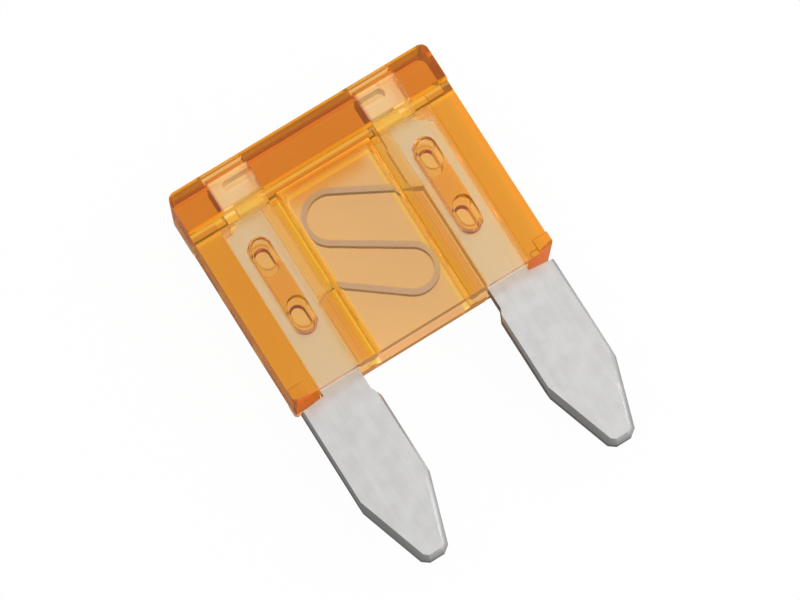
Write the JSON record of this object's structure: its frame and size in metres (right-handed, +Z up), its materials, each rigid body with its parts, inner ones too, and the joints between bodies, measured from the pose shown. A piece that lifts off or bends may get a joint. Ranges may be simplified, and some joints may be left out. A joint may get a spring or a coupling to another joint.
{
  "type": "blade fuse",
  "caption": "Small plug-in blade fuse: a clear amber housing over a flat one-piece metal element whose thin S-shaped link melts to protect a vehicle circuit.",
  "frame": {"origin": "under the middle of the whole fuse as it lies on its back, at the height of the surface it lies on", "axes": "+X across the blades, +Y from the blade tips to the head, +Z up through the thickness"},
  "size_m": [0.011, 0.016, 0.0036],
  "materials": {
    "amber_plastic": "clear amber moulded plastic, glossy",
    "zinc_strip": "satin stamped zinc alloy strip"
  },
  "bodies": {
    "root": {"housing": "amber_plastic", "fuse_element": "zinc_strip"}
  },
  "joints": []
}
